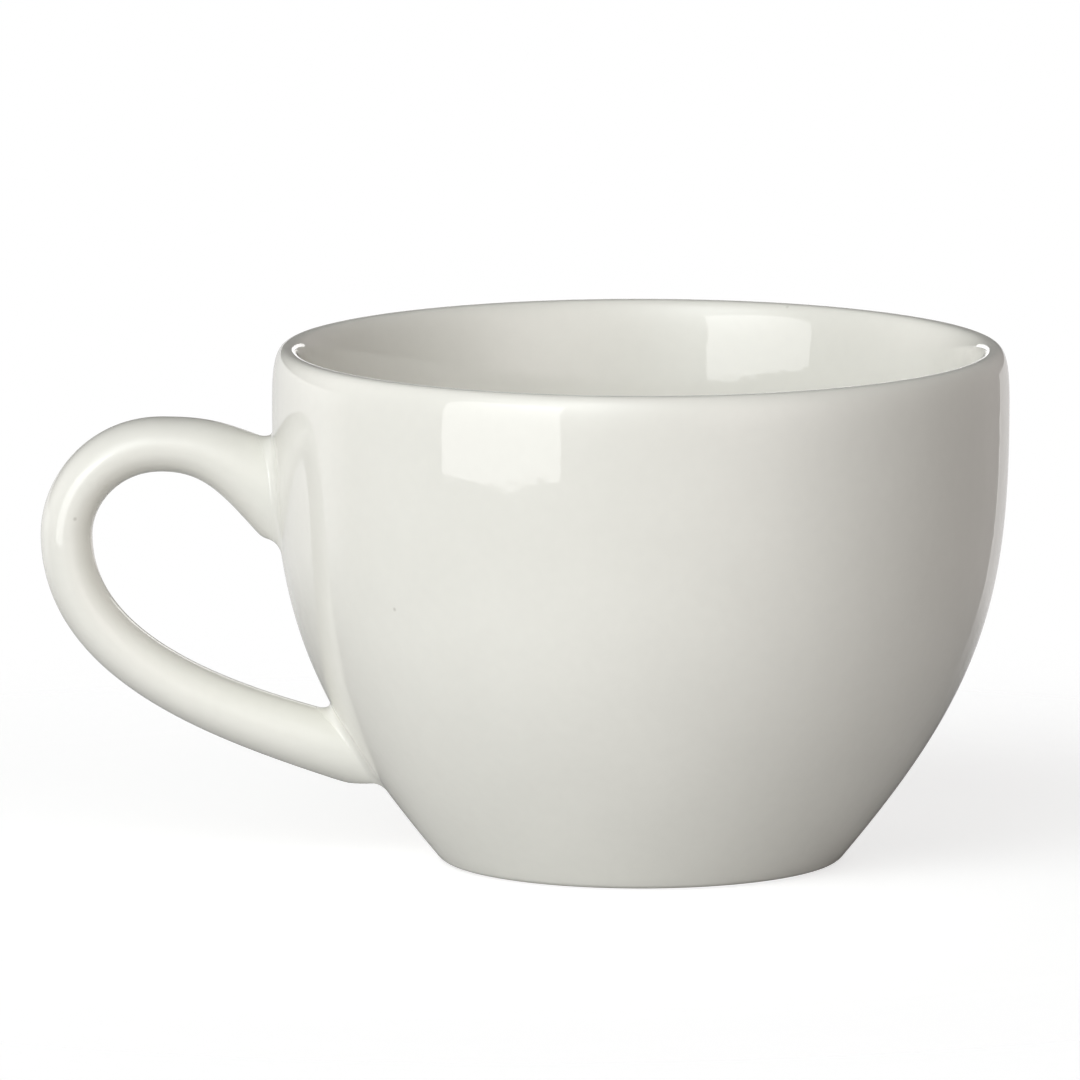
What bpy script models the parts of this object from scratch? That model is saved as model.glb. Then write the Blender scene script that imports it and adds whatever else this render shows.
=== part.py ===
"""Espresso cup: a turned porcelain bowl on a foot ring, with a cast ear handle stuck on with slip.

Metres, +Z up. The cup stands on the ground plane with its handle towards -X. The origin lies under
the middle of the whole outline, so the cup's own axis is half a handle's reach towards +X.
"""
import math

import bpy
import numpy as np

# Bowl: its lip rounds inwards from the widest circle to a crest, and thickens inside down to the wall
RIM_DIAMETER = 0.0660
HEIGHT = 0.0462
LIP_CREST_IN = 0.00115
LIP_ROUND_HEIGHT = 0.0052
LIP_TAPER_HEIGHT = 0.0162
WALL_THICKNESS = 0.0042
WALL_START_ANGLE = math.radians(50.5)
FLOOR_HEIGHT = 0.0050
FLOOR_CORNER_HEIGHT = 0.0100

# Foot ring
FOOT_DIAMETER = 0.0346
FOOT_EDGE_RADIUS = 0.0013
FOOT_RING_WIDTH = 0.0018
FOOT_RECESS_DEPTH = 0.0016
FOOT_RECESS_SLOPE_WIDTH = 0.0010

# Handle: where its centreline runs
HANDLE_REACH = 0.02075
CROWN_BELOW_RIM = 0.00635
CROWN_OUT = 0.00995
OUTERMOST_BELOW_RIM = 0.01695
UPPER_ROOT_BELOW_RIM = 0.0136
UPPER_ROOT_RISE = math.radians(37.7)
LOWER_ROOT_HEIGHT = 0.0094
LOWER_LEG_SLOPE = math.radians(16.4)

# Handle: depth of its oval section in the handle's own plane, and width across that plane
UPPER_ROOT_DEPTH = 0.01005
CROWN_DEPTH = 0.0049
OUTERMOST_DEPTH = 0.00465
LOWER_ROOT_DEPTH = 0.0060
HANDLE_WIDTH = 0.0068
UPPER_ROOT_WIDTH = 0.0082
LOWER_ROOT_WIDTH = 0.0074

# Slip joints: a skin between the handle and the wall, and the bead that spreads round it
SLIP_THICKNESS = 0.0008
SLIP_BEAD = 0.0006
SLIP_BEAD_EDGE = 0.00012
SLIP_BEAD_CORNER = 0.4
FIT_GAP = 0.0003

# Curve shapes: how far a control point goes from its end towards the corner of the end tangents
WALL_FULLNESS = (0.851, 0.763)
LIP_INSIDE_FULLNESS = (1.0, 0.68)
LIP_OUTSIDE_FULLNESS = (0.55, 0.55)
FLOOR_FULLNESS = (0.62, 0.62)
UPPER_ARM_FULLNESS = (0.57, 0.40)
EAR_FULLNESS = (0.60, 0.49)
LOWER_LEG_FULLNESS = (1.0, 0.40)

# Facets
STEPS_AROUND_CUP = 64
STEPS_AROUND_HANDLE = 24
STEPS_PER_HANDLE_ARC = (8, 9, 14)
STEPS_ON_FLOOR = 8
STEPS_ON_INNER_WALL = 8
STEPS_ON_LIP_INSIDE = 12
STEPS_ON_LIP_OUTSIDE = 7
STEPS_ON_OUTER_WALL = 15
STEPS_ON_FOOT_EDGE = 4
STEPS_ON_BEAD = 5
RINGS_ON_END = (0.0, 0.35, 0.7)
MERGE_DISTANCE = 0.00001

# Search for where the handle meets the wall, as shares of its end arcs
TABLE = np.linspace(0, 1, 200)
ROOT_SPAN = 0.35

# Finish of the fired pieces: linear colour and roughness
GLAZE_COLOUR = (0.83, 0.82, 0.76, 1.0)
GLAZE_ROUGHNESS = 0.12

RIM_RADIUS = RIM_DIAMETER / 2
UPPER_ROOT = 0
LOWER_ROOT = 3


def cubic(points, t):
    """A cubic curve with four control points, at parameters t, and straight on past its ends."""
    a, b, c, d = points
    inside = np.clip(t, 0, 1)[..., None]
    curve = (1 - inside) ** 3 * a + 3 * (1 - inside) ** 2 * inside * b
    curve = curve + 3 * (1 - inside) * inside ** 2 * c + inside ** 3 * d
    return curve + (np.asarray(t)[..., None] - inside) * cubic_speed(points, t)


def cubic_speed(points, t):
    """Rate of travel along a cubic curve with four control points, at parameters t."""
    a, b, c, d = points
    inside = np.clip(t, 0, 1)[..., None]
    return 3 * ((1 - inside) ** 2 * (b - a) + 2 * (1 - inside) * inside * (c - b) + inside ** 2 * (d - c))


def unit(vectors):
    """The same directions at length one."""
    return vectors / np.linalg.norm(vectors, axis=-1, keepdims=True)


def between(start, corner, end, fullness):
    """Control points of a cubic that leaves start and reaches end along lines through a corner."""
    return start, start + fullness[0] * (corner - start), end + fullness[1] * (corner - end), end


def arc(centre, radius, start, end, steps):
    """Points on a circle, from one angle to another, both ends included."""
    angle = np.linspace(start, end, steps + 1)
    return np.asarray(centre) + radius * np.stack([np.cos(angle), np.sin(angle)], axis=1)


def wall_curve():
    """Control points of the bowl's outer outline, as radius and height, from foot edge to lip."""
    rise = np.array([math.cos(WALL_START_ANGLE), math.sin(WALL_START_ANGLE)])
    start = np.array([FOOT_DIAMETER / 2, 0.0]) + FOOT_EDGE_RADIUS * np.array([rise[1], 1 - rise[0]])
    corner = start + rise * (RIM_RADIUS - start[0]) / rise[0]
    return between(start, corner, np.array([RIM_RADIUS, HEIGHT - LIP_ROUND_HEIGHT]), WALL_FULLNESS)


WALL = wall_curve()
WALL_LINE = cubic(WALL, TABLE)
WALL_RISE = unit(cubic_speed(WALL, TABLE))


def inner_wall(t):
    """The bowl's inner outline: the outer one moved inwards, square to itself, by the wall's thickness."""
    along = unit(cubic_speed(WALL, t))
    return cubic(WALL, t) + WALL_THICKNESS * np.stack([-along[:, 1], along[:, 0]], axis=1)


def tangent_corner(t, height):
    """Where the line along the inner wall at t comes to a height."""
    point, ahead = inner_wall(np.array([t, t + TABLE[1]]))
    return point + (ahead - point) * (height - point[1]) / (ahead - point)[1]


def bowl_outline():
    """The bowl's section from the middle of its floor, over the lip and foot, to under the floor."""
    inner_heights = inner_wall(TABLE)[:, 1]
    floor_t = np.interp(FLOOR_HEIGHT + FLOOR_CORNER_HEIGHT, inner_heights, TABLE)
    lip_t = np.interp(HEIGHT - LIP_TAPER_HEIGHT, inner_heights, TABLE)
    inside = inner_wall(np.linspace(floor_t, lip_t, STEPS_ON_INNER_WALL + 1))

    middle = np.array([0.0, FLOOR_HEIGHT])
    floor = between(middle, tangent_corner(floor_t, FLOOR_HEIGHT), inside[0], FLOOR_FULLNESS)
    floor = cubic(floor, np.linspace(0, 1, STEPS_ON_FLOOR + 1))

    crest = np.array([RIM_RADIUS - LIP_CREST_IN, HEIGHT])
    lip_inside = between(inside[-1], tangent_corner(lip_t, HEIGHT), crest, LIP_INSIDE_FULLNESS)
    lip_inside = cubic(lip_inside, np.linspace(0, 1, STEPS_ON_LIP_INSIDE + 1))
    lip_outside = between(crest, np.array([RIM_RADIUS, HEIGHT]), WALL[-1], LIP_OUTSIDE_FULLNESS)
    lip_outside = cubic(lip_outside, np.linspace(0, 1, STEPS_ON_LIP_OUTSIDE + 1))
    outside = cubic(WALL, np.linspace(1, 0, STEPS_ON_OUTER_WALL + 1))

    foot = FOOT_DIAMETER / 2
    edge_start = WALL_START_ANGLE - math.pi / 2
    edge = arc((foot, FOOT_EDGE_RADIUS), FOOT_EDGE_RADIUS, edge_start, -math.pi / 2, STEPS_ON_FOOT_EDGE)
    ring_inner = foot - FOOT_RING_WIDTH
    recess_edge = ring_inner - FOOT_RECESS_SLOPE_WIDTH
    recess = [(ring_inner, 0.0), (recess_edge, FOOT_RECESS_DEPTH), (0.0, FOOT_RECESS_DEPTH)]
    upper = [floor[:-1], inside[:-1], lip_inside[:-1], lip_outside[:-1]]
    return np.vstack([*upper, outside[:-1], edge, recess])


def cup_body():
    """The bowl, turned from its section: wall, rounded lip, dished floor and foot ring."""
    outline = bowl_outline()
    mesh = bpy.data.meshes.new("cup_body")
    points = [(radius, 0.0, height) for radius, height in outline]
    mesh.from_pydata(points, [(i, i + 1) for i in range(len(points) - 1)], [])
    piece = bpy.data.objects.new("cup_body", mesh)
    screw = piece.modifiers.new("turn", "SCREW")
    screw.steps = STEPS_AROUND_CUP
    screw.render_steps = STEPS_AROUND_CUP
    screw.use_merge_vertices = True
    screw.merge_threshold = MERGE_DISTANCE
    screw.use_smooth_shade = True
    return piece


def wall_beside(points):
    """Distance of points from the bowl's outer wall, and the wall's outward direction there."""
    radius = np.hypot(points[..., 0], points[..., 1])
    height = points[..., 2]
    rise = np.interp(height, WALL_LINE[:, 1], WALL_RISE[:, 1])
    run = np.interp(height, WALL_LINE[:, 1], WALL_RISE[:, 0])
    distance = (radius - np.interp(height, WALL_LINE[:, 1], WALL_LINE[:, 0])) * rise
    outward = [rise * points[..., 0] / radius, rise * points[..., 1] / radius, -run]
    return distance, np.stack(outward, axis=-1)


def handle_arcs():
    """Control points of the handle's centreline, as X and height, in three arcs from the upper root."""
    root_z = HEIGHT - UPPER_ROOT_BELOW_RIM
    root = np.array([-np.interp(root_z, WALL_LINE[:, 1], WALL_LINE[:, 0]), root_z])
    crown = np.array([-RIM_RADIUS - CROWN_OUT, HEIGHT - CROWN_BELOW_RIM - CROWN_DEPTH / 2])
    outermost = np.array([OUTERMOST_DEPTH / 2 - RIM_RADIUS - HANDLE_REACH, HEIGHT - OUTERMOST_BELOW_RIM])
    foot = np.array([-np.interp(LOWER_ROOT_HEIGHT, WALL_LINE[:, 1], WALL_LINE[:, 0]), LOWER_ROOT_HEIGHT])

    span = root[0] - crown[0]
    lead = UPPER_ARM_FULLNESS[0] * span * np.array([-math.cos(UPPER_ROOT_RISE), math.sin(UPPER_ROOT_RISE)])
    upper_arm = (root, root + lead, crown + np.array([UPPER_ARM_FULLNESS[1] * span, 0.0]), crown)
    ear = between(crown, np.array([outermost[0], crown[1]]), outermost, EAR_FULLNESS)
    leg_corner = foot[1] + (foot[0] - outermost[0]) * math.tan(LOWER_LEG_SLOPE)
    lower_leg = between(outermost, np.array([outermost[0], leg_corner]), foot, LOWER_LEG_FULLNESS)
    return np.array([upper_arm, ear, lower_leg])


HANDLE = handle_arcs()


def handle_skin(station):
    """Points on the handle and their outward directions, one column for each side of its oval.

    Stations 0 to 1 run from the upper root to the crown, 1 to 2 to the outermost point and 2 to 3
    to the lower root. The ovals of the upper arm stand upright, the others lie square to the
    centreline. Past its ends the handle runs straight on into the wall.
    """
    part = np.clip(np.floor(station), 0, 2).astype(int)
    share = station - part
    arcs = np.moveaxis(HANDLE[part], -2, 0)
    centre = cubic(arcs, share)
    along = unit(cubic_speed(arcs, share))
    upright = part == 0
    across_x = np.where(upright, 0.0, along[..., 1])
    across_z = np.where(upright, 1.0, -along[..., 0])

    share = np.clip(share, 0, 1)
    near_root = np.choose(part, [(1 - share) ** 2, 0 * share, share ** 2])
    eased = np.choose(part, [0 * share, share * share * (3 - 2 * share), 1 + 0 * share])
    middle_depth = CROWN_DEPTH + (OUTERMOST_DEPTH - CROWN_DEPTH) * eased
    root_depth = np.where(upright, UPPER_ROOT_DEPTH, LOWER_ROOT_DEPTH)
    root_width = np.where(upright, UPPER_ROOT_WIDTH, LOWER_ROOT_WIDTH)
    depth = middle_depth + (root_depth - middle_depth) * near_root
    width = HANDLE_WIDTH + (root_width - HANDLE_WIDTH) * near_root

    angle = np.linspace(0, 2 * math.pi, station.shape[-1], endpoint=False)
    cos = np.cos(angle)
    sin = np.sin(angle)
    reach = depth / 2 * cos
    points = [centre[..., 0] + reach * across_x, width / 2 * sin, centre[..., 1] + reach * across_z]
    outward = [cos / depth * across_x, sin / width, cos / depth * across_z]
    return np.stack(points, axis=-1), unit(np.stack(outward, axis=-1))


def root_line(root, distance):
    """Station on each side of the handle where one of its ends comes to a distance from the wall."""
    inwards = 1 if root == LOWER_ROOT else -1
    stations = root + inwards * np.linspace(ROOT_SPAN, -ROOT_SPAN, len(TABLE))
    points, _ = handle_skin(np.repeat(stations[:, None], STEPS_AROUND_HANDLE, axis=1))
    distances, _ = wall_beside(points)
    return np.array([np.interp(distance, column, stations) for column in distances.T])


def end_rings(ring, distance):
    """Rings that close one end from its middle to its edge, all at a distance from the wall."""
    middle = ring.mean(axis=0)
    rings = [middle + share * (ring - middle) for share in RINGS_ON_END]
    for _ in range(2):
        for points in rings:
            off, outward = wall_beside(points)
            points += outward * (distance - off)[:, None]
    return rings


def lofted(name, rings):
    """A closed skin over rings of points, the first and last of which have shrunk to a point."""
    around = len(rings[0])
    last = 1 + (len(rings) - 2) * around
    points = np.vstack([rings[0][:1], *rings[1:-1], rings[-1][:1]])
    faces = []
    for side in range(around):
        beside = (side + 1) % around
        faces.append([0, 1 + beside, 1 + side])
        for row in range(1, last - around, around):
            faces.append([row + side, row + beside, row + around + beside, row + around + side])
        faces.append([last, last - around + side, last - around + beside])
    mesh = bpy.data.meshes.new(name)
    mesh.from_pydata(points.tolist(), [], faces)
    mesh.shade_smooth()
    mesh.set_sharp_from_angle(angle=math.radians(50))
    return bpy.data.objects.new(name, mesh)


def handle():
    """The ear handle, each end hollowed to sit over the wall and the slip."""
    clear = 2 * FIT_GAP + SLIP_THICKNESS
    upper_end = root_line(UPPER_ROOT, clear)
    lower_end = root_line(LOWER_ROOT, clear)
    crown = np.full(STEPS_AROUND_HANDLE, 1.0)
    stops = [upper_end, crown, 2 * crown, lower_end]
    stations = [upper_end]
    for start, end, steps in zip(stops, stops[1:], STEPS_PER_HANDLE_ARC):
        stations += [start + (end - start) * step / steps for step in range(1, steps + 1)]
    sides = list(handle_skin(np.array(stations))[0])
    return lofted("handle", end_rings(sides[0], clear) + sides + end_rings(sides[-1], clear)[::-1])


def slip_joint(name, root):
    """A skin of slip between one end of the handle and the wall, with its bead wiped round.

    The bead's section lies between a straight line and a hollow quarter round: it turns off the
    handle at a corner and runs out along the wall to a thin edge.
    """
    angle = np.linspace(0, math.pi / 2, STEPS_ON_BEAD + 1)
    rise = SLIP_BEAD_EDGE + (SLIP_THICKNESS - SLIP_BEAD_EDGE) * (1 - np.cos(angle))
    hollow = 1 - np.sin(angle)
    spread = SLIP_BEAD * (hollow + SLIP_BEAD_CORNER * (np.cos(angle) - hollow))
    sides = []
    for height, width in zip([0.0, *rise], [SLIP_BEAD, *spread]):
        points, outward = handle_skin(root_line(root, FIT_GAP + height)[None, :])
        _, wall_outward = wall_beside(points)
        sideways = unit(outward - np.sum(outward * wall_outward, axis=-1, keepdims=True) * wall_outward)
        sides.append((points + width * sideways)[0])
    back = end_rings(sides[0], FIT_GAP)
    front = end_rings(sides[-1], FIT_GAP + SLIP_THICKNESS)
    rings = back + sides + front[::-1]
    return lofted(name, rings if root == UPPER_ROOT else rings[::-1])


def glaze(piece):
    """Give a piece its own clear-glazed white porcelain."""
    material = bpy.data.materials.new(piece.name + "_glaze")
    material.use_nodes = True
    shader = material.node_tree.nodes["Principled BSDF"]
    shader.inputs["Base Color"].default_value = GLAZE_COLOUR
    shader.inputs["Roughness"].default_value = GLAZE_ROUGHNESS
    shader.inputs["Metallic"].default_value = 0.0
    piece.data.materials.append(material)


for leftover in list(bpy.data.objects):
    bpy.data.objects.remove(leftover, do_unlink=True)

cup_axis = bpy.data.objects.new("cup_axis", None)
cup_axis.location = (HANDLE_REACH / 2, 0.0, 0.0)
bpy.context.collection.objects.link(cup_axis)

pieces = [
    cup_body(),
    handle(),
    slip_joint("upper_slip_joint", UPPER_ROOT),
    slip_joint("lower_slip_joint", LOWER_ROOT),
]
for piece in pieces:
    bpy.context.collection.objects.link(piece)
    piece.parent = cup_axis
    glaze(piece)
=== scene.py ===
import math

import bpy
import numpy as np
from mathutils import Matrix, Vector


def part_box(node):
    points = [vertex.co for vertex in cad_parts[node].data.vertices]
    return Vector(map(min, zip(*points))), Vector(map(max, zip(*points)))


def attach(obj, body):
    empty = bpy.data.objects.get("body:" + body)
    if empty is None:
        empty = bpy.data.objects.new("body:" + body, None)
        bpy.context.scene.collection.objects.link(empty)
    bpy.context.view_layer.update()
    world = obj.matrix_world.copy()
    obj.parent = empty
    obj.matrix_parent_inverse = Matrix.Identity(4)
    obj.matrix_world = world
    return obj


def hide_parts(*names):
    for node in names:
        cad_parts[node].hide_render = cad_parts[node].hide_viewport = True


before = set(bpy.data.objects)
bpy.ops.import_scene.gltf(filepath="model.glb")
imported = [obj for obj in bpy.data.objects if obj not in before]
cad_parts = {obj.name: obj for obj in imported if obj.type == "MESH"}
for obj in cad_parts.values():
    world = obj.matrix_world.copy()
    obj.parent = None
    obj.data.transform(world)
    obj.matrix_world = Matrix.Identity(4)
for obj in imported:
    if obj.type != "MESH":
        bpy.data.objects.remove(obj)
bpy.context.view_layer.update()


# Bowl: ivory-white porcelain, turned in one piece from its lip to its foot ring and dipped in clear
# glaze. The flat of the foot ring is wiped bare, so that the cup does not stick to the kiln shelf.
bowl_low, bowl_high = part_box("cup_body")
cup_axis = np.array([(bowl_low.x + bowl_high.x) / 2, 0.0, 0.0])
cup_height = bowl_high.z
rim_radius = (bowl_high.y - bowl_low.y) / 2
lip_crest_inset = 0.0013
lip_round_height = 0.0052
lip_taper_height = 0.0162
lip_outside_fullness = (0.90, 0.55)
lip_inside_fullness = (1.0, 0.85)
wall_thickness = 0.0042
wall_start_angle = math.radians(50.5)
wall_fullness = (0.851, 0.763)
floor_height = 0.0050
floor_corner_height = 0.0100
floor_fullness = (0.62, 0.62)
foot_radius = 0.0173
foot_edge_radius = 0.0013
foot_ring_width = 0.0018
foot_recess_depth = 0.0016
foot_recess_slope_width = 0.0010
foot_corner = 0.0005
foot_corner_fullness = (0.6, 0.6)
foot_dome = 0.0002
bowl_steps_around = 320
floor_steps = 28
inner_wall_steps = 32
lip_inside_steps = 48
lip_outside_steps = 24
outer_wall_steps = 60
foot_edge_steps = 9
foot_corner_steps = 7
recess_steps = 8
wall_shares = np.linspace(0, 1, 400)


def cubic(points, t):
    """Cubic: four control points weighted (1-t)^3, 3t(1-t)^2, 3t^2(1-t), t^3, straight past 0 and 1."""
    a, b, c, d = points
    inside = np.clip(t, 0, 1)[..., None]
    curve = (1 - inside) ** 3 * a + 3 * (1 - inside) ** 2 * inside * b
    curve = curve + 3 * (1 - inside) * inside ** 2 * c + inside ** 3 * d
    return curve + (np.asarray(t)[..., None] - inside) * cubic_speed(points, t)


def cubic_speed(points, t):
    """Rate of travel on the cubic: steps between control points weighted 3(1-t)^2, 6t(1-t), 3t^2."""
    a, b, c, d = points
    inside = np.clip(t, 0, 1)[..., None]
    return 3 * ((1 - inside) ** 2 * (b - a) + 2 * (1 - inside) * inside * (c - b) + inside ** 2 * (d - c))


def drawn(points, steps):
    """Points of a cubic at even shares of its parameter, both ends included."""
    return cubic(points, np.linspace(0, 1, steps + 1))


def unit(vectors):
    """Each vector divided by its own length."""
    return vectors / np.linalg.norm(vectors, axis=-1, keepdims=True)


def between(start, corner, end, fullness):
    """Control points of a cubic whose end tangents meet at a corner, each followed by its fullness."""
    start, corner, end = np.asarray(start), np.asarray(corner), np.asarray(end)
    return start, start + fullness[0] * (corner - start), end + fullness[1] * (corner - end), end


def round_arc(centre, radius, start, end, steps):
    """Points at one radius from a centre, at even angles from start to end."""
    angle = np.linspace(start, end, steps + 1)
    return np.asarray(centre) + radius * np.stack([np.cos(angle), np.sin(angle)], axis=1)


lip_crest = np.array([rim_radius - lip_crest_inset, cup_height])
wall_rise = np.array([math.cos(wall_start_angle), math.sin(wall_start_angle)])
wall_start = np.array([foot_radius, 0.0]) + foot_edge_radius * np.array([wall_rise[1], 1 - wall_rise[0]])
wall_corner = wall_start + wall_rise * (rim_radius - wall_start[0]) / wall_rise[0]
wall_end = np.array([rim_radius, cup_height - lip_round_height])
outer_wall = between(wall_start, wall_corner, wall_end, wall_fullness)


def inner_wall(t):
    """The outer wall moved inwards, square to itself, by an even thickness."""
    along = unit(cubic_speed(outer_wall, t))
    return cubic(outer_wall, t) + wall_thickness * np.stack([-along[:, 1], along[:, 0]], axis=1)


def tangent_corner(t, height):
    """Where the line through two near points of the inner wall, at t and just past it, reaches a height."""
    just_past = 0.005
    point, ahead = inner_wall(np.array([t, t + just_past]))
    return point + (ahead - point) * (height - point[1]) / (ahead - point)[1]


def inside_outline():
    """Radius and height of the bowl's inside: a cubic floor, the inner wall, a cubic to the lip's crest."""
    ends = [floor_height + floor_corner_height, cup_height - lip_taper_height]
    floor_t, lip_t = np.interp(ends, inner_wall(wall_shares)[:, 1], wall_shares)
    wall = inner_wall(np.linspace(floor_t, lip_t, inner_wall_steps + 1))
    floor = between((0.0, floor_height), tangent_corner(floor_t, floor_height), wall[0], floor_fullness)
    lip = between(wall[-1], tangent_corner(lip_t, cup_height), lip_crest, lip_inside_fullness)
    return np.vstack([drawn(floor, floor_steps)[:-1], wall[:-1], drawn(lip, lip_inside_steps)[:-1]])


def outside_outline():
    """Radius and height of the bowl's outside: a cubic off the crest, the outer wall, a round foot edge."""
    lip = between(lip_crest, (rim_radius, cup_height), wall_end, lip_outside_fullness)
    wall = cubic(outer_wall, np.linspace(1, 0, outer_wall_steps + 1))
    edge_centre = (foot_radius, foot_edge_radius)
    edge_start = wall_start_angle - math.pi / 2
    edge = round_arc(edge_centre, foot_edge_radius, edge_start, -math.pi / 2, foot_edge_steps)
    return np.vstack([drawn(lip, lip_outside_steps)[:-1], wall[:-1], edge])


def underside_outline():
    """Radius and height under the foot: ring, two soft corners, and a recess with a square-law dome."""
    ring_inner = np.array([foot_radius - foot_ring_width, 0.0])
    recess_edge = ring_inner + np.array([-foot_recess_slope_width, foot_recess_depth])
    up = foot_corner * unit(recess_edge - ring_inner)
    out = np.array([foot_corner, 0.0])
    ring_turn = between(ring_inner + out, ring_inner, ring_inner + up, foot_corner_fullness)
    recess_turn = between(recess_edge - up, recess_edge, recess_edge - 2 * out, foot_corner_fullness)
    share = np.linspace(1, 0, recess_steps + 1)[1:]
    recess_radius = (recess_edge - 2 * out)[0] * share
    recess = np.stack([recess_radius, foot_recess_depth + foot_dome * (1 - share ** 2)], axis=1)
    return np.vstack([drawn(ring_turn, foot_corner_steps), drawn(recess_turn, foot_corner_steps), recess])


def turned(outline, steps):
    """A grid of points: radius times cosine and sine of the angle round the cup's axis, and the height."""
    angle = -np.linspace(0, 2 * math.pi, steps, endpoint=False)
    radius, height = outline[:, :1], outline[:, 1:]
    points = [radius * np.cos(angle), radius * np.sin(angle), height + 0 * angle]
    return np.stack(points, axis=-1) + cup_axis


def woven(grid):
    """Four-sided faces over a grid of point numbers: each row is joined to the next and closes round."""
    beside = np.roll(grid, -1, axis=1)
    return np.stack([grid[:-1], beside[:-1], beside[1:], grid[1:]], axis=-1).reshape(-1, 4)


def new_piece(name, points, faces):
    """An object of the scene with a smooth mesh over the given points and faces."""
    mesh = bpy.data.meshes.new(name)
    mesh.from_pydata(points.tolist(), [], faces)
    mesh.shade_smooth()
    piece = bpy.data.objects.new(name, mesh)
    bpy.context.scene.collection.objects.link(piece)
    return piece


def closed_skin(name, rows):
    """A piece over a grid: columns close round, and the first and last rows each shrink to a point."""
    around = rows.shape[1]
    points = np.vstack([rows[0].mean(axis=0), rows[1:-1].reshape(-1, 3), rows[-1].mean(axis=0)])
    grid = 1 + np.arange(len(points) - 2).reshape(-1, around)
    beside = np.roll(grid, -1, axis=1)
    first = np.stack([np.zeros(around, int), beside[0], grid[0]], axis=1)
    last = np.stack([np.full(around, len(points) - 1), grid[-1], beside[-1]], axis=1)
    return new_piece(name, points, first.tolist() + woven(grid).tolist() + last.tolist())


bowl_outline = np.vstack([inside_outline(), outside_outline(), underside_outline()])
bowl = closed_skin("glazed_bowl", turned(bowl_outline, bowl_steps_around))

clay_colour = (0.83, 0.82, 0.765, 1.0)
cloud_scale = 70.0
cloud_tone = (0.985, 1.015)
grain_scale = 900.0
grain_tone = (0.994, 1.006)
gloss_scale = 180.0
glaze_roughness = (0.03, 0.05)
ripple_scale = 250.0
peel_scale = 1100.0
peel_share = 0.20
glaze_relief = 2.0e-5
speck_colour = (0.40, 0.38, 0.33, 1.0)
speck_strength = 0.45
speck_radii = (0.00006, 0.00024)
bowl_specks = ((0.0239, 0.0279, 0.0459), (-0.0115, -0.0233, 0.0260))
bare_colour = (0.72, 0.69, 0.62)
bare_grain_scale = 2600.0
bare_tone = (0.93, 1.05)
bare_roughness = 0.75
bare_edge_heights = (0.00017, 0.00022)
bare_edge_wander = 0.00012


def placed(tree, kind, *values, **settings):
    """One shader node: its own settings by name, then its inputs in order, each a value or an output."""
    node = tree.nodes.new("ShaderNode" + kind)
    for name, setting in settings.items():
        setattr(node, name, setting)
    for socket, value in zip([socket for socket in node.inputs if socket.enabled], values):
        if isinstance(value, bpy.types.NodeSocket):
            tree.links.new(value, socket)
        elif value is not None:
            socket.default_value = value
    return node


def combined(tree, operation, first, second):
    """Two numbers put together by one operation."""
    return placed(tree, "Math", first, second, operation=operation).outputs[0]


def spread_over(tree, noise, ends):
    """A noise texture's middle span, where most of its values lie, stretched from one end to the other."""
    middle_span = (0.3, 0.7)
    return placed(tree, "MapRange", noise, *middle_span, *ends).outputs[0]


def group_of(name, inputs, outputs):
    """An empty shader node group with named inputs and outputs, and its two end nodes."""
    tree = bpy.data.node_groups.new(name, "ShaderNodeTree")
    for side, sockets in (("INPUT", inputs), ("OUTPUT", outputs)):
        for label, kind in sockets.items():
            tree.interface.new_socket(label, in_out=side, socket_type="NodeSocket" + kind)
    return tree, tree.nodes.new("NodeGroupInput").outputs, tree.nodes.new("NodeGroupOutput").inputs


def fired_glaze_group():
    """Clear glaze fired on porcelain: cloudy tone, slightly varying gloss, a slow ripple with finer peel.

    Colour is the clay times 1 plus small broad and fine noise. Height is one noise of about 4 mm
    waves plus a fifth of one of 0.9 mm. Roughness follows another noise between two values.
    """
    inputs = {"Place": "Vector", "Clay": "Color"}
    outputs = {"Colour": "Color", "Roughness": "Float", "Height": "Float"}
    tree, given, made = group_of("fired_glaze", inputs, outputs)
    place = given["Place"]
    broad = placed(tree, "TexNoise", place, cloud_scale, 2.0).outputs[0]
    fine = placed(tree, "TexNoise", place, grain_scale, 1.0).outputs[0]
    cloud = spread_over(tree, broad, cloud_tone)
    grain = spread_over(tree, fine, grain_tone)
    tone = combined(tree, "MULTIPLY", cloud, grain)
    toned = placed(tree, "VectorMath", given["Clay"], tone, operation="MULTIPLY").outputs[0]
    tree.links.new(toned, made["Colour"])
    gloss = placed(tree, "TexNoise", place, gloss_scale, 2.0).outputs[0]
    tree.links.new(spread_over(tree, gloss, glaze_roughness), made["Roughness"])
    ripple = placed(tree, "TexNoise", place, ripple_scale, 0.0).outputs[0]
    peel = placed(tree, "TexNoise", place, peel_scale, 0.0).outputs[0]
    height = placed(tree, "Math", peel, peel_share, ripple, operation="MULTIPLY_ADD").outputs[0]
    tree.links.new(height, made["Height"])
    return tree


fired_glaze = fired_glaze_group()


def glazed(name, specks):
    """A material with the fired glaze on Object coordinates, greyed in a few specks at given places."""
    material = bpy.data.materials.new(name)
    material.use_nodes = True
    tree = material.node_tree
    place = placed(tree, "TexCoord").outputs["Object"]
    glaze = placed(tree, "Group", node_tree=fired_glaze)
    tree.links.new(place, glaze.inputs["Place"])
    glaze.inputs["Clay"].default_value = clay_colour
    colour = glaze.outputs["Colour"]
    for speck in specks:
        away = placed(tree, "VectorMath", place, speck, operation="DISTANCE").outputs["Value"]
        grey = placed(tree, "MapRange", away, *speck_radii, speck_strength, 0.0).outputs[0]
        colour = placed(tree, "Mix", grey, colour, speck_colour, data_type="RGBA").outputs["Result"]
    return material, place, glaze.outputs, colour


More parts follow.
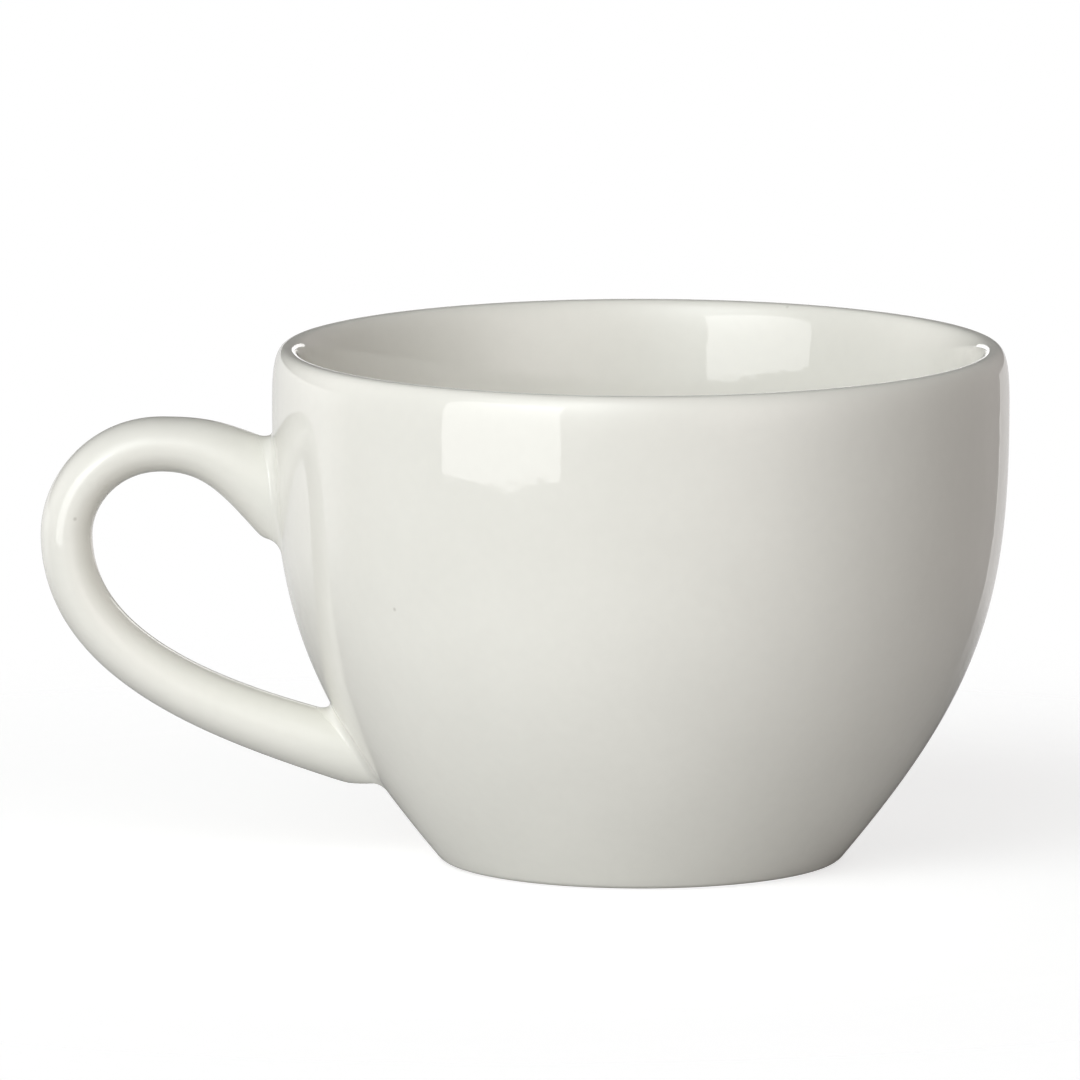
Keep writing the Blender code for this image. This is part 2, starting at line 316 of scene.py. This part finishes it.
def finished(material, colour, roughness, height):
    """Colour and roughness led to the material's own shader, and the height to its normal as a bump."""
    tree = material.node_tree
    shader = tree.nodes["Principled BSDF"]
    bump = placed(tree, "Bump", 1.0, glaze_relief, None, height)
    tree.links.new(colour, shader.inputs["Base Color"])
    tree.links.new(roughness, shader.inputs["Roughness"])
    tree.links.new(bump.outputs["Normal"], shader.inputs["Normal"])


bowl_glaze, bowl_place, bowl_finish, bowl_colour = glazed("bowl_glaze", bowl_specks)
bowl_tree = bowl_glaze.node_tree
height_above_table = placed(bowl_tree, "SeparateXYZ", bowl_place).outputs["Z"]
bare_grain = placed(bowl_tree, "TexNoise", bowl_place, bare_grain_scale, 2.0).outputs[0]
wander = combined(bowl_tree, "MULTIPLY", bare_grain, bare_edge_wander)
wiped_height = combined(bowl_tree, "ADD", wander, height_above_table)
bare = placed(bowl_tree, "MapRange", wiped_height, *bare_edge_heights, 1.0, 0.0).outputs[0]
bare_shade = spread_over(bowl_tree, bare_grain, bare_tone)
bare_clay = placed(bowl_tree, "VectorMath", bare_colour, bare_shade, operation="MULTIPLY").outputs[0]
finished(
    bowl_glaze,
    placed(bowl_tree, "Mix", bare, bowl_colour, bare_clay, data_type="RGBA").outputs["Result"],
    placed(bowl_tree, "Mix", bare, bowl_finish["Roughness"], bare_roughness).outputs["Result"],
    placed(bowl_tree, "Mix", bare, bowl_finish["Height"], bare_grain).outputs["Result"],
)
bowl.data.materials.append(bowl_glaze)
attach(bowl, "root")
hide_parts("cup_body")


# Handle: an ear of the same porcelain, cast solid in a two-part mould, oval across and thicker at its
# roots. Its ends are cut hollow to sit on the curved wall, and it is stuck on before firing.
handle_low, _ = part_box("handle")
handle_out = handle_low.x - cup_axis[0]
crown_below_rim = 0.00635
crown_out = 0.00995
outermost_below_rim = 0.01695
upper_root_below_rim = 0.0136
upper_root_rise = math.radians(37.7)
lower_root_height = 0.0094
lower_leg_slope = math.radians(16.4)
upper_root_depth = 0.01005
crown_depth = 0.0049
outermost_depth = 0.00465
lower_root_depth = 0.0060
handle_width = 0.0068
upper_root_width = 0.0082
lower_root_width = 0.0074
upper_arm_fullness = (0.57, 0.40)
ear_fullness = (0.60, 0.49)
lower_leg_fullness = (1.0, 0.40)
handle_steps_around = 96
handle_steps_along = 200
root_bury = 0.0006
root_reach = 0.35
root_halvings = 32
# Each wipe: X and height of a point on its line, the line's slope, and its softness.
upper_wipe = (-0.0330, 0.0290, -0.05, 0.00025)
lower_wipe = (-0.0246, 0.0069, 0.12, 0.00020)
handle_specks = ((-0.0402, -0.0033, 0.0311),)
# Stations run from 0 at the upper root to 3 at the lower one, with a cubic between each two.
upper_root = 0
lower_root = 3

wall_line = cubic(outer_wall, wall_shares)
wall_along = unit(cubic_speed(outer_wall, wall_shares))


def wall_beside(points):
    """Distance off the outer wall, radius past the wall's own times its rise, and its outward direction."""
    radius = np.hypot(points[..., 0], points[..., 1])
    height = points[..., 2]
    rise = np.interp(height, wall_line[:, 1], wall_along[:, 1])
    run = np.interp(height, wall_line[:, 1], wall_along[:, 0])
    distance = (radius - np.interp(height, wall_line[:, 1], wall_line[:, 0])) * rise
    outward = [rise * points[..., 0] / radius, rise * points[..., 1] / radius, -run]
    return distance, np.stack(outward, axis=-1)


def handle_arcs():
    """The centreline in X and height as three cubics that meet at the crown and at the outermost point."""
    root_z = cup_height - upper_root_below_rim
    root = np.array([-np.interp(root_z, wall_line[:, 1], wall_line[:, 0]), root_z])
    crown = np.array([-rim_radius - crown_out, cup_height - crown_below_rim - crown_depth / 2])
    outermost = np.array([handle_out + outermost_depth / 2, cup_height - outermost_below_rim])
    foot = np.array([-np.interp(lower_root_height, wall_line[:, 1], wall_line[:, 0]), lower_root_height])
    span = root[0] - crown[0]
    lead = upper_arm_fullness[0] * span * np.array([-math.cos(upper_root_rise), math.sin(upper_root_rise)])
    upper_arm = (root, root + lead, crown + np.array([upper_arm_fullness[1] * span, 0.0]), crown)
    ear = between(crown, (outermost[0], crown[1]), outermost, ear_fullness)
    leg_corner = foot[1] + (foot[0] - outermost[0]) * math.tan(lower_leg_slope)
    lower_leg = between(outermost, (outermost[0], leg_corner), foot, lower_leg_fullness)
    return np.array([upper_arm, ear, lower_leg])


handle_line = handle_arcs()


def handle_skin(station):
    """Points on the handle and their outward directions, one column for each side of its oval.

    Centre at the station on the centreline, plus half the depth times the cosine along the oval's
    own axis, plus half the width times the sine along Y. Depth and width grow as a square law near
    the roots. Ovals of the upper arm stand upright, the others lie square to the centreline. The
    underside of each root is wiped: where it would pass below a straight line it is raised by half of
    the shortfall plus half the root of the shortfall squared plus a softness squared.
    """
    part = np.clip(np.floor(station), 0, 2).astype(int)
    share = station - part
    arcs = np.moveaxis(handle_line[part], -2, 0)
    centre = cubic(arcs, share)
    along = unit(cubic_speed(arcs, share))
    upright = part == 0
    across_x = np.where(upright, 0.0, along[..., 1])
    across_z = np.where(upright, 1.0, -along[..., 0])
    share = np.clip(share, 0, 1)
    near_root = np.choose(part, [(1 - share) ** 2, 0 * share, share ** 2])
    past_crown = np.choose(part, [0 * share, share * share * (3 - 2 * share), 1 + 0 * share])
    depth = crown_depth + (outermost_depth - crown_depth) * past_crown
    depth = depth + (np.where(upright, upper_root_depth, lower_root_depth) - depth) * near_root
    root_width = np.where(upright, upper_root_width, lower_root_width)
    width = handle_width + (root_width - handle_width) * near_root
    angle = np.linspace(0, 2 * math.pi, station.shape[-1], endpoint=False)
    cos, sin = np.cos(angle), np.sin(angle)
    reach = depth / 2 * cos
    x, z = centre[..., 0] + reach * across_x, centre[..., 1] + reach * across_z
    for wipe, wiped in ((upper_wipe, upright), (lower_wipe, part == 2)):
        at_x, at_z, slope, softness = wipe
        short = at_z + slope * (x - at_x) - z
        z = z + np.where(wiped, (short + np.hypot(short, softness)) / 2, 0.0)
    outward = [cos / depth * across_x, sin / width, cos / depth * across_z]
    return np.stack([x, width / 2 * sin, z], axis=-1), unit(np.stack(outward, axis=-1))


def root_line(root, distances):
    """Station on each side of the handle where one of its ends comes to that side's distance off the wall.

    The stretch between a station inside the wall and one outside it is halved again and again,
    keeping the half that the distance lies in.
    """
    inwards = root_reach if root == lower_root else -root_reach
    inside = np.full(distances.shape, root + inwards)
    outside = np.full(distances.shape, root - inwards)
    for _ in range(root_halvings):
        middle = (inside + outside) / 2
        short = wall_beside(handle_skin(middle)[0])[0] < distances
        inside = np.where(short, middle, inside)
        outside = np.where(short, outside, middle)
    return (inside + outside) / 2


buried = np.full(handle_steps_around, -root_bury)
handle_start = root_line(upper_root, buried)
handle_end = root_line(lower_root, buried)
handle_share = np.linspace(0, 1, handle_steps_along + 1)[:, None]
handle_rows, _ = handle_skin(handle_start + (handle_end - handle_start) * handle_share)
handle_rows = np.concatenate([handle_rows[:1], handle_rows, handle_rows[-1:]]) + cup_axis
handle = closed_skin("glazed_handle", handle_rows)

handle_glaze, _, handle_finish, handle_colour = glazed("handle_glaze", handle_specks)
finished(handle_glaze, handle_colour, handle_finish["Roughness"], handle_finish["Height"])
handle.data.materials.append(handle_glaze)
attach(handle, "root")
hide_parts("handle")


# Slip joints: liquid clay that held the handle's two ends to the wall. What was squeezed out is wiped
# into a narrow hollow bead round each root, and the glaze runs over it.
# Height off the wall and spread along it: in front, and at the ends outside and inside the ear's loop.
bead_front = np.array([0.0006, 0.0018])
upper_bead_ends = np.array([[0.0014, 0.0009], [0.0012, 0.0015]])
lower_bead_ends = np.array([[0.0006, 0.0003], [0.0014, 0.0016]])
bead_start_angle = -0.3
bead_inside_share = 0.4
bead_bury_share = 0.5
bead_steps_around = 192
bead_steps_across = 28


def slip_bead(name, root, ends):
    """A closed ring round one root: handle skin off the wall, pushed out in a hollow quarter round.

    Height off the wall and spread along it change from the front to the ring's two ends with the
    cube of the cosine round it. A pushed point is then set back to its own height off the curved wall.
    """
    cos = np.cos(np.linspace(0, 2 * math.pi, bead_steps_around, endpoint=False))
    end = np.where(cos[:, None] > 0, ends[0], ends[1])
    height, spread = (bead_front + (end - bead_front) * np.abs(cos[:, None]) ** 3).T
    angle = np.linspace(bead_start_angle, math.pi / 2, bead_steps_across + 1)[:, None]
    rise = height * (1 - np.cos(angle)) * np.sign(angle)
    push = spread * (1 - np.sin(angle))
    rise = np.vstack([rise, height, -bead_bury_share * height])
    push = np.vstack([push, -bead_inside_share * spread, -bead_inside_share * spread])
    points, outward = handle_skin(root_line(root, rise))
    _, wall_outward = wall_beside(points)
    sideways = unit(outward - np.sum(outward * wall_outward, axis=-1, keepdims=True) * wall_outward)
    pushed = points + push[..., None] * sideways
    strayed, wall_outward = wall_beside(pushed)
    rows = pushed + (rise - strayed)[..., None] * wall_outward + cup_axis
    grid = np.arange(rise.size).reshape(rise.shape)
    faces = woven(np.vstack([grid, grid[:1]]))
    faces = faces if root == upper_root else faces[:, ::-1]
    return new_piece(name, rows.reshape(-1, 3), faces.tolist())


upper_bead = slip_bead("upper_slip_bead", upper_root, upper_bead_ends)
lower_bead = slip_bead("lower_slip_bead", lower_root, lower_bead_ends)
for bead, node in ((upper_bead, "upper_slip_joint"), (lower_bead, "lower_slip_joint")):
    bead.data.materials.append(handle_glaze)
    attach(bead, "root")
    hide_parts(node)


# Table: a round of pale paper that keeps the cup's shadow and fades away before its edge. It is open
# under the foot and clear from below, so that the underside of the cup can be looked at.
table_radius = 0.15
table_fade = (0.055, 0.14)
table_gap = 0.0001
table_grey = (0.55, 0.55, 0.55, 1.0)
table_roughness = 0.9
table_white = 0.68
table_steps = 128

table_turn = np.linspace(0, 2 * math.pi, table_steps, endpoint=False)
table_ring = np.stack([np.cos(table_turn), np.sin(table_turn), 0 * table_turn], axis=1)
table_points = np.vstack([table_radius * table_ring, foot_radius * table_ring + cup_axis])
table_points[:, 2] = -table_gap
table = new_piece("table_top", table_points, woven(np.arange(2 * table_steps).reshape(2, -1)).tolist())

table_paper = bpy.data.materials.new("table_paper")
table_paper.use_nodes = True
table_tree = table_paper.node_tree
table_shader = table_tree.nodes["Principled BSDF"]
table_shader.inputs["Base Color"].default_value = table_grey
table_shader.inputs["Roughness"].default_value = table_roughness
table_shader.inputs["Specular IOR Level"].default_value = 0.0
table_shader.inputs["Emission Color"].default_value = (1.0, 1.0, 1.0, 1.0)
table_seen = placed(table_tree, "LightPath").outputs["Is Camera Ray"]
table_lift = combined(table_tree, "MULTIPLY", table_seen, table_white)
table_tree.links.new(table_lift, table_shader.inputs["Emission Strength"])


def eased(tree, value, start, end):
    """A smooth step from 0 where a value is at its start to 1 where it is at its end."""
    return placed(tree, "MapRange", value, start, end, 0.0, 1.0, interpolation_type="SMOOTHSTEP").outputs[0]


table_place = placed(table_tree, "TexCoord").outputs["Object"]
table_away = placed(table_tree, "VectorMath", table_place, operation="LENGTH").outputs["Value"]
from_below = placed(table_tree, "NewGeometry").outputs["Backfacing"]
table_gone = combined(table_tree, "MAXIMUM", eased(table_tree, table_away, *table_fade), from_below)
table_clear = placed(table_tree, "BsdfTransparent").outputs[0]
table_look = placed(table_tree, "MixShader", table_gone, table_shader.outputs[0], table_clear).outputs[0]
table_tree.links.new(table_look, table_tree.nodes["Material Output"].inputs["Surface"])
table.data.materials.append(table_paper)


# Room: the soft light of a studio as round glows on dark walls, one of them from below for the foot.
# White paper hangs low behind the table, higher and brighter on its left, with a bright line at its
# right edge. To the camera the whole room is plain white.
# Each glow: azimuth and elevation in degrees, narrowness, and colour.
room_glows = (
    (-27, 33, 12.0, (3.58, 3.74, 3.75)),
    (36, 14, 8.0, (1.58, 1.48, 1.45)),
    (-112, 16, 9.0, (1.22, 1.15, 1.12)),
    (145, 2, 6.5, (0.60, 0.57, 0.55)),
    (0, -88, 5.0, (1.50, 1.50, 1.50)),
)
# The paper's places are angles from straight behind, positive to the right, and up from the horizon.
paper_colour = (0.50, 0.50, 0.50)
paper_left_colour = (0.30, 0.30, 0.30)
paper_left_blend = (0.3, -0.6)
paper_edge_colour = (0.35, 0.35, 0.35)
paper_edge_blend = (-0.025, -0.015)
paper_right = math.radians(28)
paper_right_softness = 0.005
paper_left = math.radians(-70)
paper_left_softness = 0.17
paper_top = math.radians(-2.5)
paper_top_softness = 0.01
paper_left_rise = math.radians(6)
paper_rise_blend = (0.0, -0.07)

room = bpy.data.worlds.new("studio_room")
bpy.context.scene.world = room
room.use_nodes = True
room_tree = room.node_tree
direction = placed(room_tree, "TexCoord").outputs["Generated"]


def facing(azimuth, elevation):
    """Cosine of the angle from a ray to one side of the room, azimuth 0 at the camera, 90 on its right."""
    turn, tilt = math.radians(azimuth), math.radians(elevation)
    side = (math.sin(turn) * math.cos(tilt), -math.cos(turn) * math.cos(tilt), math.sin(tilt))
    return placed(room_tree, "VectorMath", direction, side, operation="DOT_PRODUCT").outputs["Value"]


def tinted(amount, colour):
    """A colour times an amount."""
    node = placed(room_tree, "VectorMath", colour, operation="SCALE")
    room_tree.links.new(amount, node.inputs["Scale"])
    return node.outputs[0]


def added(first, second):
    """Two colours added."""
    return placed(room_tree, "VectorMath", first, second, operation="ADD").outputs[0]


def both(first, second):
    """Two masks multiplied."""
    return combined(room_tree, "MULTIPLY", first, second)


parts = placed(room_tree, "SeparateXYZ", direction).outputs
behind = combined(room_tree, "ARCTAN2", parts["X"], parts["Y"])
above = placed(room_tree, "Math", parts["Z"], operation="ARCSINE").outputs[0]
risen = both(eased(room_tree, behind, *paper_rise_blend), paper_left_rise)
above_rise = combined(room_tree, "SUBTRACT", above, risen)
inside_right = eased(room_tree, behind, paper_right, paper_right - paper_right_softness)
inside_left = eased(room_tree, behind, paper_left - paper_left_softness, paper_left + paper_left_softness)
below_top = eased(room_tree, above_rise, paper_top + paper_top_softness, paper_top - paper_top_softness)
paper = both(both(inside_right, inside_left), below_top)
left_share = eased(room_tree, behind, *paper_left_blend)
edge_share = eased(room_tree, behind, *[paper_right + step for step in paper_edge_blend])
light = tinted(paper, paper_colour)
light = added(light, tinted(both(paper, left_share), paper_left_colour))
light = added(light, tinted(both(paper, edge_share), paper_edge_colour))
for azimuth, elevation, narrowness, colour in room_glows:
    near = combined(room_tree, "MAXIMUM", facing(azimuth, elevation), 0.0)
    light = added(light, tinted(combined(room_tree, "POWER", near, narrowness), colour))
room_seen = placed(room_tree, "LightPath").outputs["Is Camera Ray"]
light = placed(room_tree, "Mix", room_seen, light, (1.0, 1.0, 1.0, 1.0), data_type="RGBA").outputs["Result"]
room_tree.links.new(light, room_tree.nodes["Background"].inputs["Color"])


# Lamps: a square softbox at the front left with one rounded corner, a small oval card behind the cup
# that lights the two ends of its lip, and a soft fill from behind that gives no reflections.
softbox_radiance = 2.6
softbox_distance = 0.60
softbox_azimuth = math.radians(-43.8)
softbox_low_slope = math.tan(math.radians(-10))
softbox_high_slope = math.tan(math.radians(28))
softbox_aim_height = 0.04
softbox_size = (0.427, softbox_distance * (softbox_high_slope - softbox_low_slope))
softbox_corner = 0.13
softbox_edge = 0.002
card_radiance = 1.7
card_size = (0.066, 0.020)
card_place = (cup_axis[0], 0.15, 0.0545)
fill_radiance = 4.5
fill_size = (0.30, 0.16)
fill_place = (cup_axis[0], 0.60, 0.06)
from_front = math.pi / 2
from_behind = -math.pi / 2


def flat_lamp(name, shape, size, radiance, place, turn):
    """A flat lamp that the camera can't see, its power the radiance times pi times its area."""
    lamp = bpy.data.lights.new(name, "AREA")
    lamp.shape = shape
    lamp.size, lamp.size_y = size
    lamp.energy = radiance * math.pi * size[0] * size[1] * (math.pi / 4 if shape == "ELLIPSE" else 1.0)
    stand = bpy.data.objects.new(name, lamp)
    stand.location = place
    stand.rotation_euler = turn
    stand.visible_camera = False
    bpy.context.scene.collection.objects.link(stand)
    return stand


softbox_place = (
    softbox_distance * math.sin(softbox_azimuth) + cup_axis[0],
    -softbox_distance * math.cos(softbox_azimuth),
    softbox_aim_height + softbox_distance * (softbox_high_slope + softbox_low_slope) / 2,
)
softbox = flat_lamp(
    "softbox", "RECTANGLE", softbox_size, softbox_radiance, softbox_place, (from_front, 0, softbox_azimuth)
).data
softbox.use_nodes = True
softbox_tree = softbox.node_tree


def moved(point, operation, amount):
    """A point of the softbox's front put together with a fixed vector by one operation."""
    return placed(softbox_tree, "VectorMath", point, amount, operation=operation).outputs[0]


corner_centre = (softbox_size[0] / 2 - softbox_corner, softbox_size[1] / 2 - softbox_corner, 0.0)
spot = placed(softbox_tree, "NewGeometry").outputs["Parametric"]
spot = moved(spot, "SUBTRACT", (0.5, 0.5, 0.0))
spot = moved(spot, "MULTIPLY", (-softbox_size[0], softbox_size[1], 0.0))
spot = moved(spot, "SUBTRACT", corner_centre)
spot = moved(spot, "MAXIMUM", (0.0, 0.0, 0.0))
past_centre = placed(softbox_tree, "VectorMath", spot, operation="LENGTH").outputs["Value"]
corner_edge = (softbox_corner - softbox_edge, softbox_corner)
lit = placed(softbox_tree, "MapRange", past_centre, *corner_edge, 1.0, 0.0).outputs[0]
softbox_tree.links.new(lit, softbox_tree.nodes["Emission"].inputs["Strength"])

flat_lamp("rim_card", "ELLIPSE", card_size, card_radiance, card_place, (from_behind, 0, 0))
back_fill = flat_lamp("back_fill", "RECTANGLE", fill_size, fill_radiance, fill_place, (from_behind, 0, 0))
back_fill.visible_glossy = False


# Camera: a long lens a little above the rim, looking square at the plane that the handle lies in, with
# the cup set a little below the middle of the picture.
view_elevation = math.radians(8.527)
view_distance = 1.6
view_target = np.array([0.00136, 0.0, 0.02871])
view_from = np.array([0.0, -math.cos(view_elevation), math.sin(view_elevation)])
camera_data = bpy.data.cameras.new("camera")
camera_data.sensor_width = 36
camera_data.lens = 595.35
camera = bpy.data.objects.new("camera", camera_data)
camera.location = view_target + view_distance * view_from
camera.rotation_euler = (math.pi / 2 - view_elevation, 0, 0)
bpy.context.scene.collection.objects.link(camera)
bpy.context.scene.camera = camera

bpy.context.scene.view_settings.view_transform = "Standard"
